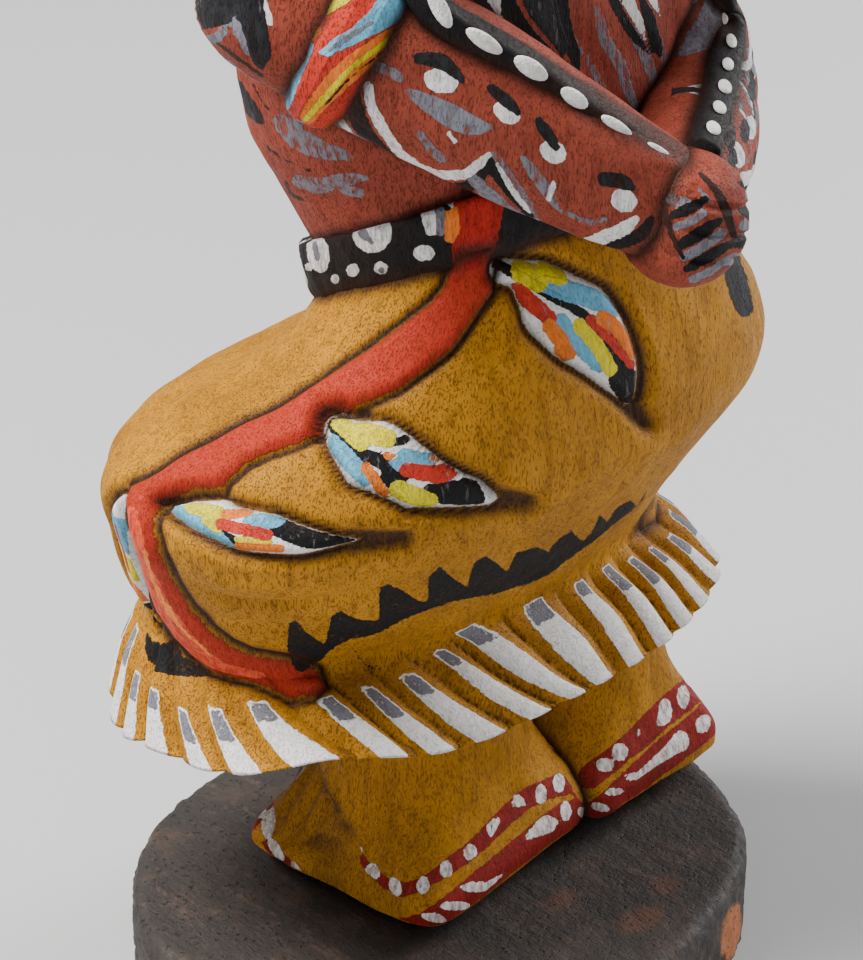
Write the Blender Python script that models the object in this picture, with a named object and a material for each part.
"""Carved and painted wooden figure of a long-haired person in a fringed robe, on a round block.

The figure faces -Y and its right side is at -X. The origin is the middle of the block's underside.
Two solids: the figure, carved from one piece of wood, and the block that it stands on.
"""

import math

import bmesh
import bpy
import numpy as np

MM = 0.001

# Overall sizes, in millimetres
BLOCK_HEIGHT = 16.0
BLOCK_HALF_WIDTH = 43.0
BLOCK_HALF_DEPTH = 37.0
FOOT_GAP = 0.3
HEM_HEIGHT = 49.0
FRINGE_TOP = 59.0
HIP_HEIGHT = 83.0
BELT_HEIGHT = 112.0
SHOULDER_HEIGHT = 162.0
CHIN_HEIGHT = 178.0
MIDDLE_X = 12.0

# Counts and steps that set the fineness
FLUTES = 38
ROBE_AROUND = FLUTES * 8
BODY_AROUND = 72
LEG_AROUND = 64
VOXEL = 0.5
FIGURE_TRIANGLES = 9200


def closed_mesh(name, points, faces):
    """A closed mesh object from points in millimetres, with its faces turned outwards."""
    mesh = bpy.data.meshes.new(name)
    mesh.from_pydata([tuple(p) for p in np.asarray(points) * MM], [], faces)
    shape = bmesh.new()
    shape.from_mesh(mesh)
    bmesh.ops.recalc_face_normals(shape, faces=shape.faces)
    shape.to_mesh(mesh)
    shape.free()
    obj = bpy.data.objects.new(name, mesh)
    bpy.context.scene.collection.objects.link(obj)
    return obj


def smooth_rows(rows, at):
    """The columns of a table, read smoothly between its rows without overshooting. Column 0 is the key."""
    rows = np.asarray(rows, float)
    key = rows[:, 0]
    values = rows[:, 1:]
    step = np.diff(key)[:, None]
    slope = np.diff(values, axis=0) / step
    product = slope[1:] * slope[:-1]
    inner = np.where(product > 0, 2 * product / (slope[1:] + slope[:-1] + 1e-12), 0)
    tangent = np.vstack([slope[:1], inner, slope[-1:]])
    at = np.clip(np.asarray(at, float), key[0], key[-1])
    i = np.clip(np.searchsorted(key, at, side="right") - 1, 0, len(key) - 2)
    h = step[i]
    t = ((at - key[i])[..., None]) / h
    return (
        (2 * t**3 - 3 * t**2 + 1) * values[i]
        + (t**3 - 2 * t**2 + t) * h * tangent[i]
        + (3 * t**2 - 2 * t**3) * values[i + 1]
        + (t**3 - t**2) * h * tangent[i + 1]
    )


def oval(angle, cx, cy, half_width, half_depth, square, z, rise, roll=0.0):
    """Points of an oval. rise lifts its front and lowers its back, roll lifts its +X side."""
    c, s = np.cos(angle), np.sin(angle)
    x = half_width * np.sign(c) * np.abs(c) ** (2 / square)
    y = half_depth * np.sign(s) * np.abs(s) ** (2 / square)
    return np.stack([cx + x, cy + y, z - rise * y + roll * x], axis=-1)


def loft(name, rings):
    """A closed solid through rings of equally many points, with both ends closed."""
    count = len(rings[0])
    points = [tuple(p) for ring in rings for p in ring]
    faces = []
    for k in range(len(rings) - 1):
        a, b = k * count, (k + 1) * count
        faces += [(a + i, a + (i + 1) % count, b + (i + 1) % count, b + i) for i in range(count)]
    for k in (0, len(rings) - 1):
        points.append(tuple(np.mean(rings[k], axis=0)))
        faces += [(k * count + i, k * count + (i + 1) % count, len(points) - 1) for i in range(count)]
    return closed_mesh(name, points, faces)


def tube(name, path, sizes, side, around=12, square=2.4):
    """A rounded bar along a path. sizes holds the half width and half thickness at each point of the path."""
    path = np.asarray(path, float)
    ways = np.gradient(path, axis=0)
    ways /= np.linalg.norm(ways, axis=1)[:, None]
    rings = []
    angle = np.arange(around) * 2 * math.pi / around
    c, s = np.cos(angle), np.sin(angle)
    across = np.sign(c) * np.abs(c) ** (2 / square)
    out = np.sign(s) * np.abs(s) ** (2 / square)
    for point, way, (half_width, half_thick) in zip(path, ways, sizes):
        normal = np.cross(way, side)
        normal /= np.linalg.norm(normal)
        lateral = np.cross(normal, way)
        rings.append(point + np.outer(across * half_width, lateral) + np.outer(out * half_thick, normal))
    return loft(name, rings)


def along(points, count):
    """Evenly counted points on a smooth line through the points."""
    points = np.asarray(points, float)
    keys = np.arange(len(points))
    return smooth_rows(np.column_stack([keys, points]), np.linspace(0, len(points) - 1, count))


# The robe: height, middle x, middle y, half width, half depth, squareness, rise and roll of each level
ROBE = [
    (HEM_HEIGHT, 5.0, 8.0, 43.0, 28.0, 2.9, 0.03, 0.0),
    (HEM_HEIGHT + 5, 5.2, 9.8, 40.8, 25.8, 2.7, 0.02, 0.0),
    (FRINGE_TOP, 5.3, 12.0, 37.5, 22.5, 2.5, 0.02, 0.0),
    (FRINGE_TOP + 6, 5.0, 11.5, 40.0, 24.5, 2.4, 0.0, 0.0),
    (HIP_HEIGHT - 9, 5.5, 9.0, 43.8, 27.0, 2.4, 0.0, 0.0),
    (HIP_HEIGHT, 7.0, 6.0, 47.5, 28.5, 2.4, 0.0, 0.0),
    (HIP_HEIGHT + 8, 9.5, 2.5, 42.0, 25.5, 2.4, 0.08, 0.0),
    (HIP_HEIGHT + 16, 11.5, 0.0, 32.5, 21.0, 2.4, 0.25, 0.0),
    (BELT_HEIGHT - 5, 12.3, 0.0, 26.0, 17.5, 2.4, 0.48, 0.0),
    (BELT_HEIGHT, 12.3, 1.0, 24.0, 16.0, 2.4, 0.52, 0.0),
]


def hem_lift(angle):
    """The hem isn't level: it lifts at the front right, dips at the right side and lifts a little at the left."""
    degrees = np.degrees(angle) % 360
    lift = 3.8 * np.exp(-(((degrees - 225) / 22) ** 2))
    lift -= 4.5 * np.exp(-(((degrees - 160) / 22) ** 2))
    return lift + 1.5 * np.exp(-(((degrees - 315) / 25) ** 2))


def robe_point(angle, z):
    """Points on the robe's plain surface."""
    cx, cy, a, b, square, rise, roll = np.moveaxis(smooth_rows(ROBE, z), -1, 0)
    points = oval(angle, cx, cy, a, b, square, z, rise, roll)
    points[..., 2] += hem_lift(angle) * np.clip((FRINGE_TOP - z) / (FRINGE_TOP - HEM_HEIGHT), 0, 1)
    return points


# The red sash and the four carved feathers: stations of angle in degrees and height on the robe
SASH = [
    (233, 112), (219, 104), (204, 98.3), (185, 93.3), (174.5, 88),
    (175.5, 81), (181.5, 74), (188, 67.5), (198, 62), (211, 59),
]
SASH_HALF_WIDTH = 3.2
SASH_RELIEF = 1.0
FEATHERS = [
    ([(236, 107), (254, 99.5), (277, 87)], 4.4),
    ([(193, 96), (224, 91), (260, 84)], 4.2),
    ([(179, 86), (205, 85.5), (238, 83.5)], 3.2),
    ([(167, 84), (168, 72), (169, 59)], 2.8),
]
PIT_MARGIN = 1.1
PIT_DEPTH = 1.4
LEAF_RELIEF = 1.2
FLUTE_DEPTH = 0.9


def soft_step(low, high, value):
    """0 below low, 1 above high and a smooth rise between them."""
    t = np.clip((value - low) / (high - low), 0, 1)
    return t * t * (3 - 2 * t)


def along_strip(points, stations):
    """For each point, how far it lies along the strip from 0 to 1, and how far from its middle line."""
    line = along([(math.radians(a), z) for a, z in stations], 41)
    path = robe_point(line[:, 0], line[:, 1])
    start, step = path[:-1], np.diff(path, axis=0)
    length = np.linalg.norm(step, axis=1)
    best = np.full(len(points), 1e9)
    place = np.zeros(len(points))
    travelled = np.concatenate([[0], np.cumsum(length)])
    for k in range(len(step)):
        t = np.clip(((points - start[k]) @ step[k]) / length[k] ** 2, 0, 1)
        distance = np.linalg.norm(points - start[k] - t[:, None] * step[k], axis=1)
        nearer = distance < best
        best[nearer] = distance[nearer]
        place[nearer] = (travelled[k] + t[nearer] * length[k]) / travelled[-1]
    return place, best


def leaf_width(place, half_width):
    """Half the width of an almond leaf at each place along it."""
    return half_width * np.sin(math.pi * place**0.8) ** 0.85


def along_hem():
    """Angles right round the robe, and the part of the hem's length that each has passed."""
    angle = np.linspace(0, 2 * math.pi, 3001)
    ring = robe_point(angle, np.full(len(angle), HEM_HEIGHT))
    length = np.concatenate([[0], np.cumsum(np.linalg.norm(np.diff(ring, axis=0), axis=1))])
    return angle, length / length[-1]


def flute_phase(angle, z):
    """Turns of the fringe's flutes. They lean over where the robe swings out at its front right."""
    depth = (FRINGE_TOP - z) / (FRINGE_TOP - HEM_HEIGHT)
    lean = math.radians(24) * np.exp(-(((np.degrees(angle) - 220) / 42) ** 2))
    return FLUTES * np.interp((angle - lean * depth) % (2 * math.pi), *along_hem())


def robe_relief(points, angle, z):
    """How far the carving stands out from the plain robe."""
    relief = np.zeros(len(points))
    flute = np.cos(2 * math.pi * flute_phase(angle, z))
    relief += FLUTE_DEPTH * flute * (1 - soft_step(FRINGE_TOP - 5, FRINGE_TOP, z))
    place, off = along_strip(points, SASH)
    relief += SASH_RELIEF * (1 - soft_step(SASH_HALF_WIDTH - 0.5, SASH_HALF_WIDTH + 0.3, off))
    relief -= 0.5 * np.exp(-(((off - SASH_HALF_WIDTH - 0.8) / 0.6) ** 2))
    for stations, half_width in FEATHERS:
        place, off = along_strip(points, stations)
        wide = leaf_width(place, half_width)
        relief -= PIT_DEPTH * (1 - soft_step(wide + PIT_MARGIN * 0.3, wide + PIT_MARGIN, off)) * (wide > 0.2)
        relief += LEAF_RELIEF * (1 - soft_step(wide - 0.7, wide, off))
    return relief


def make_robe():
    turns, passed = along_hem()
    angle = np.interp(np.arange(ROBE_AROUND) / ROBE_AROUND, passed, turns)
    rings = []
    rim = robe_point(angle, np.full(ROBE_AROUND, HEM_HEIGHT))
    middle = rim.mean(axis=0)
    for inset, lift in ((0.3, 3.6), (0.6, 3.0), (0.85, 1.2)):
        ring = middle + (rim - middle) * inset
        ring[:, 2] += lift
        rings.append(ring)
    for z in np.linspace(HEM_HEIGHT, BELT_HEIGHT, 78):
        height = np.full(ROBE_AROUND, z)
        ring = robe_point(angle, height)
        out = np.roll(ring, -1, axis=0) - np.roll(ring, 1, axis=0)
        out = np.stack([out[:, 1], -out[:, 0], np.zeros(ROBE_AROUND)], axis=1)
        out /= np.linalg.norm(out, axis=1)[:, None]
        rings.append(ring + out * robe_relief(ring, angle, height)[:, None])
    return loft("robe", rings)


# The trunk: height, middle x, middle y, half width, half depth, squareness and rise of each level
TRUNK = [
    (100, 12.0, 0.0, 21.0, 13.0, 2.4, 0.45),
    (111, 12.0, 0.5, 24.5, 16.0, 2.4, 0.45),
    (118, 12.0, 2.5, 27.0, 17.5, 2.4, 0.35),
    (127, 12.0, 5.0, 31.0, 19.5, 2.4, 0.15),
    (136, 12.0, 5.5, 32.5, 19.5, 2.5, 0.0),
    (148, 12.0, 4.5, 31.0, 17.5, 2.5, 0.0),
    (157, 12.0, 4.0, 31.0, 15.0, 2.6, 0.0),
    (SHOULDER_HEIGHT, 12.0, 4.0, 29.5, 13.5, 2.5, 0.0),
    (SHOULDER_HEIGHT + 5, 12.0, 4.0, 23.0, 11.5, 2.3, 0.0),
    (SHOULDER_HEIGHT + 9, 12.0, 4.0, 13.0, 10.2, 2.1, 0.0),
    (SHOULDER_HEIGHT + 13, 12.0, 3.5, 9.8, 9.8, 2.0, 0.0),
    (CHIN_HEIGHT + 5, 12.0, 2.5, 9.0, 9.0, 2.0, 0.0),
]


def levels(table, heights, around):
    """Rings of a table of ovals at the given heights."""
    angle = np.arange(around) * 2 * math.pi / around
    rings = []
    for z in heights:
        cx, cy, a, b, square, rise = smooth_rows(table, np.array([z]))[0]
        rings.append(oval(angle, cx, cy, a, b, square, np.full(around, float(z)), rise))
    return rings


def make_trunk():
    heights = np.linspace(TRUNK[0][0], TRUNK[-1][0], 42)
    return loft("trunk", levels(TRUNK, heights, BODY_AROUND))


def make_belt():
    """The broad belt, a rounded band about the waist that rises towards the front."""
    table = [
        (BELT_HEIGHT - 6, 12.1, 0.3, 23.0, 15.0, 2.4, 0.52),
        (BELT_HEIGHT - 5.4, 12.6, 0.3, 25.2, 17.8, 2.4, 0.52),
        (BELT_HEIGHT - 3, 12.6, 0.6, 26.4, 18.8, 2.4, 0.52),
        (BELT_HEIGHT + 1, 12.4, 1.0, 27.0, 19.0, 2.4, 0.52),
        (BELT_HEIGHT + 2.8, 12.1, 1.2, 26.8, 18.4, 2.4, 0.52),
        (BELT_HEIGHT + 3.2, 12.1, 1.2, 22.5, 14.5, 2.4, 0.52),
    ]
    return loft("belt", levels(table, [row[0] for row in table], BODY_AROUND))


# Each arm: points from the shoulder to the wrist, for the right (-1) and the left (1) side
ARMS = {
    -1: [
        (-9.5, 4.5, 162.5), (-18.0, 5.5, 156.0), (-21.5, 3.0, 148.5), (-15.5, -5.0, 142.5),
        (-7.0, -14.5, 135.5), (1.0, -21.5, 129.0), (9.0, -28.0, 123.0),
    ],
    1: [
        (32.5, 4.5, 162.5), (34.5, 4.5, 154.0), (35.0, 2.5, 145.0), (34.5, -1.0, 136.5),
        (34.5, -7.0, 128.5), (28.5, -16.0, 122.5), (14.5, -27.5, 121.5),
    ],
}
ARM_SIZES = {
    -1: [(8.5, 8.0), (9.4, 8.8), (9.6, 9.0), (9.8, 9.2), (9.5, 8.8), (8.5, 8.0), (7.2, 7.0)],
    1: [(8.5, 8.0), (8.6, 8.4), (8.4, 8.4), (8.4, 8.4), (8.6, 8.4), (8.0, 7.8), (7.0, 6.8)],
}
ARM_FACING = (0, 0.3, 1.0)


def make_arm(side):
    path = along(ARMS[side], 34)
    return tube(f"arm_{side}", path, along(ARM_SIZES[side], 34), ARM_FACING, around=40, square=2.2)


def make_cuff(side):
    """The thick painted band about the forearm below the elbow."""
    path = along(ARMS[side], 61)[26:33] if side < 0 else along(ARMS[side], 61)[22:35]
    grow = np.full(len(path), 11.4 if side < 0 else 9.9)
    grow[[0, -1]] -= 2.4
    grow[[1, -2]] -= 0.5
    return tube(f"cuff_{side}", path, np.stack([grow, grow - 0.5], axis=1), ARM_FACING, around=48, square=2.3)


def make_cord(side):
    """The raised dotted band from the neck to the hands, along the inner edge of the forearm."""
    ways = {
        -1: [
            (1.5, 1.0, 174.0), (-4.0, -5.0, 167.5), (-10.5, -10.0, 160.0),
            (-14.0, -13.5, 150.5), (-4.5, -21.5, 140.5), (9.5, -29.8, 127.8),
        ],
        1: [
            (22.5, 1.0, 174.0), (28.5, -4.0, 166.0), (33.5, -7.5, 155.0), (37.0, -9.5, 142.0),
            (37.0, -12.5, 133.0), (28.5, -20.0, 129.5), (15.0, -30.0, 127.5),
        ],
    }
    path = along(ways[side], 60)
    return tube(f"cord_{side}", path, [(2.1, 1.9)] * 60, (0.5, 1.0, 0.4), around=16, square=3.0)


# The clasped hands: middle, half sizes and the depth of the grooves between the fingers
HANDS = (11.2, -31.0, 120.8)
HANDS_HALF = (7.0, 7.3, 7.9)
FINGER_GROOVE = 0.8


def make_hands():
    """A rounded block with three grooves between its four fingers."""
    around, rows = 56, 48
    rings = []
    angle = np.arange(around) * 2 * math.pi / around
    for k in range(1, rows):
        up = -math.cos(math.pi * k / rows)
        flat = math.sin(math.pi * k / rows) ** 0.7
        z = np.full(around, HANDS[2] + HANDS_HALF[2] * up)
        ring = oval(angle, HANDS[0], HANDS[1], HANDS_HALF[0] * flat, HANDS_HALF[1] * flat, 2.6, z, 0.0)
        finger = (ring[:, 2] - HANDS[2] + 0.35 * (ring[:, 0] - HANDS[0])) / 3.4
        groove = np.clip(np.cos(2 * math.pi * finger) - 0.35, 0, 1) * (np.abs(finger) < 1.5)
        front = np.clip(-np.sin(angle), 0, 1) ** 0.5
        ring[:, 1] += FINGER_GROOVE * groove * front * flat
        rings.append(ring)
    return loft("hands", rings)


# A legging: height, half width, half depth and squareness of each level, about its own middle
LEGGING = [
    (BLOCK_HEIGHT + FOOT_GAP, 15.5, 12.5, 5.0),
    (19.0, 16.0, 13.0, 5.0),
    (19.4, 18.6, 17.0, 8.0),
    (21.5, 18.6, 17.0, 8.0),
    (25.0, 17.6, 15.8, 6.0),
    (29.0, 16.0, 14.0, 4.0),
    (34.0, 14.6, 12.6, 2.8),
    (40.0, 14.0, 12.0, 2.3),
    (HEM_HEIGHT + 1.0, 13.8, 12.0, 2.2),
    (HEM_HEIGHT + 13.0, 13.0, 11.0, 2.2),
]
# Each leg: middle x and y of its foot, middle x and y of its top, its turn in degrees,
# and its share of the table's width and depth
LEGS = {-1: (1.6, 4.4, 2.0, 3.0, 9.0, 1.0, 1.0), 1: (32.2, 4.8, 30.0, 4.0, 4.0, 0.77, 0.92)}


def make_leg(side):
    angle = np.arange(LEG_AROUND) * 2 * math.pi / LEG_AROUND
    foot_x, foot_y, top_x, top_y, turn, wide, deep = LEGS[side]
    turn = math.radians(turn)
    rings = []
    for z in [row[0] for row in LEGGING[:4]] + list(np.linspace(22.5, LEGGING[-1][0], 28)):
        a, b, square = smooth_rows(LEGGING, np.array([z]))[0]
        ring = oval(angle, 0.0, 0.0, a * wide, b * deep, square, np.full(LEG_AROUND, z), 0.0)
        up = (z - LEGGING[0][0]) / (LEGGING[-1][0] - LEGGING[0][0])
        x, y = ring[:, 0].copy(), ring[:, 1].copy()
        ring[:, 0] = foot_x + (top_x - foot_x) * up + x * math.cos(turn) - y * math.sin(turn)
        ring[:, 1] = foot_y + (top_y - foot_y) * up + x * math.sin(turn) + y * math.cos(turn)
        rings.append(ring)
    return loft(f"leg_{side}", rings)


def bump(x, z, at_x, at_z, wide_x, wide_z):
    """A soft round swelling of height 1, mirrored about the middle of the face."""
    return np.exp(-(((np.abs(x) - at_x) / wide_x) ** 2) - ((z - at_z) / wide_z) ** 2)


def face_relief(x, z):
    """How far the face stands forward of the plain head: x from its middle, z above the chin."""
    nose_length = np.clip((z - 10.0) / 9.0, 0, 1)
    nose = (3.3 - 2.3 * nose_length) * np.exp(-((x / (1.9 - 0.5 * nose_length)) ** 2))
    nose *= 1 / (1 + np.exp(-(z - 10.3) * 3)) * (1 / (1 + np.exp((z - 20.5) * 1.2)))
    relief = nose
    relief += 0.8 * bump(x, z, 2.1, 11.3, 1.1, 1.1)
    relief -= 1.5 * bump(x, z, 5.2, 18.2, 2.9, 1.9)
    relief += 0.75 * bump(x, z, 5.2, 18.1, 1.9, 1.0)
    relief += 0.7 * bump(x, z, 4.8, 21.6, 4.6, 1.4)
    relief += 0.9 * bump(x, z, 7.8, 13.8, 2.8, 3.2)
    relief += 0.95 * bump(x, z, 0.9, 7.9, 2.9, 0.75)
    relief += 1.0 * bump(x, z, 0.0, 5.9, 3.0, 0.85)
    relief -= 0.35 * bump(x, z, 0.0, 6.9, 3.6, 0.35)
    relief += 1.3 * bump(x, z, 0.0, 1.8, 3.4, 2.0)
    return relief


# The head: height above the chin, middle y, half width, half depth and squareness of each level
HEAD = [
    (-1.5, 1.5, 5.0, 6.5, 2.0),
    (0.0, 0.8, 8.0, 10.5, 2.1),
    (3.0, 0.5, 10.2, 13.0, 2.2),
    (8.0, 0.8, 11.8, 14.2, 2.3),
    (14.0, 1.2, 12.8, 14.8, 2.3),
    (21.0, 1.8, 13.2, 15.2, 2.3),
    (28.0, 2.4, 12.4, 14.6, 2.2),
    (33.0, 3.0, 9.8, 12.0, 2.1),
    (36.0, 3.4, 6.0, 8.0, 2.0),
    (37.0, 3.6, 2.0, 3.0, 2.0),
]


def head_angles(around):
    """Angles about the head, closer together across the face."""
    t = np.arange(around) / around
    return -math.pi / 2 + 2 * math.pi * (t - 0.085 * np.sin(2 * math.pi * t))


def make_head():
    around = 96
    angle = head_angles(around)
    rings = []
    for h in np.linspace(HEAD[0][0], HEAD[-1][0], 70):
        cy, a, b, square = smooth_rows(HEAD, np.array([float(h)]))[0]
        ring = oval(angle, MIDDLE_X, cy, a, b, square, np.full(around, CHIN_HEIGHT + h), 0.0)
        front = np.clip(-np.sin(angle), 0, 1) ** 2
        ring[:, 1] -= face_relief(ring[:, 0] - MIDDLE_X, np.full(around, float(h))) * front
        rings.append(ring)
    return loft("head", rings)


# The hair: height above the chin, middle y, half width, half depth, squareness; it hangs down the back
HAIR = [
    (-40.0, 26.0, 7.0, 3.0, 2.2),
    (-36.0, 26.0, 10.0, 4.2, 2.3),
    (-24.0, 23.5, 13.0, 5.0, 2.4),
    (-12.0, 17.5, 14.5, 7.0, 2.4),
    (-4.0, 12.0, 15.0, 9.0, 2.4),
    (4.0, 8.5, 15.0, 11.3, 2.4),
    (14.0, 5.8, 15.3, 13.6, 2.4),
    (23.0, 4.3, 15.3, 15.6, 2.4),
    (30.0, 3.3, 14.2, 16.0, 2.3),
    (34.5, 3.3, 11.0, 13.0, 2.1),
    (37.5, 3.5, 6.5, 8.0, 2.0),
    (38.8, 3.6, 2.0, 2.6, 2.0),
]
HAIR_GROOVES = 22


def make_hair():
    around = 120
    angle = np.arange(around) * 2 * math.pi / around
    rings = []
    for z in np.linspace(HAIR[0][0], HAIR[-1][0], 90):
        cy, a, b, square = smooth_rows(HAIR, np.array([float(z)]))[0]
        ring = oval(angle, MIDDLE_X, cy, a, b, square, np.full(around, CHIN_HEIGHT + z), 0.0)
        strand = 0.45 * np.cos(HAIR_GROOVES * angle) * soft_step(-40, -36, z) * (1 - soft_step(33, 37, z))
        ring = ring + (ring - ring.mean(axis=0)) / a * strand[:, None]
        rings.append(ring)
    return loft("hair", rings)


def make_headband():
    table = [
        (23.2, 3.6, 14.0, 13.4, 2.4),
        (23.6, 3.6, 16.1, 17.4, 2.4),
        (27.6, 3.5, 15.9, 17.4, 2.4),
        (28.0, 3.5, 13.5, 13.4, 2.4),
    ]
    angle = np.arange(BODY_AROUND) * 2 * math.pi / BODY_AROUND
    rings = []
    for z, cy, a, b, square in table:
        rings.append(oval(angle, MIDDLE_X, cy, a, b, square, np.full(BODY_AROUND, CHIN_HEIGHT + z), 0.08))
    return loft("headband", rings)


def make_block():
    """The rough round block, a little wavy about its edge."""
    around = 40
    angle = np.arange(around) * 2 * math.pi / around
    wave = 1 + 0.012 * np.sin(3 * angle + 0.5) + 0.008 * np.sin(7 * angle)
    rings = []
    top = BLOCK_HEIGHT
    for z, grow in ((0.0, 0.975), (1.2, 1.0), (top - 1.8, 1.0), (top - 0.5, 0.985), (top, 0.955)):
        half_width, half_depth = BLOCK_HALF_WIDTH * grow, BLOCK_HALF_DEPTH * grow
        ring = oval(angle, 2.5, 0.6, half_width, half_depth, 2.3, np.full(around, z), 0.0)
        ring[:, :2] *= wave[:, None]
        rings.append(ring)
    return loft("base", rings)


def carve_as_one(parts, name):
    """Joins overlapping closed shapes into one skin, then thins its triangles where it is flat."""
    points, faces = [], []
    for obj in parts:
        offset = len(points)
        points += [tuple(v.co) for v in obj.data.vertices]
        faces += [tuple(offset + i for i in face.vertices) for face in obj.data.polygons]
        bpy.data.objects.remove(obj)
    mesh = bpy.data.meshes.new(name)
    mesh.from_pydata(points, [], faces)
    obj = bpy.data.objects.new(name, mesh)
    bpy.context.scene.collection.objects.link(obj)
    skin = obj.modifiers.new("one skin", "REMESH")
    skin.mode = "VOXEL"
    skin.voxel_size = VOXEL * MM
    replace_by_evaluated(obj)
    thin = obj.modifiers.new("thin", "DECIMATE")
    thin.ratio = FIGURE_TRIANGLES / (2.0 * len(obj.data.polygons))
    thin.use_collapse_triangulate = True
    replace_by_evaluated(obj)
    return obj


def replace_by_evaluated(obj):
    """Applies the object's modifiers to its mesh."""
    graph = bpy.context.evaluated_depsgraph_get()
    mesh = bpy.data.meshes.new_from_object(obj.evaluated_get(graph))
    obj.modifiers.clear()
    obj.data = mesh


def paint(obj, colour, roughness):
    material = bpy.data.materials.new(obj.name + "_paint")
    material.use_nodes = True
    shader = material.node_tree.nodes["Principled BSDF"]
    shader.inputs["Base Color"].default_value = (*colour, 1.0)
    shader.inputs["Roughness"].default_value = roughness
    obj.data.materials.clear()
    obj.data.materials.append(material)
    obj.data.shade_smooth()
    obj.data.set_sharp_from_angle(angle=math.radians(35))


for obj in list(bpy.data.objects):
    bpy.data.objects.remove(obj)

parts = [make_robe(), make_trunk(), make_belt()]
for side in (-1, 1):
    parts += [make_arm(side), make_cuff(side), make_cord(side), make_leg(side)]
parts += [make_hands(), make_head(), make_hair(), make_headband()]
figure = carve_as_one(parts, "figure")
block = make_block()
paint(figure, (0.55, 0.33, 0.06), 0.6)
paint(block, (0.03, 0.02, 0.015), 0.75)
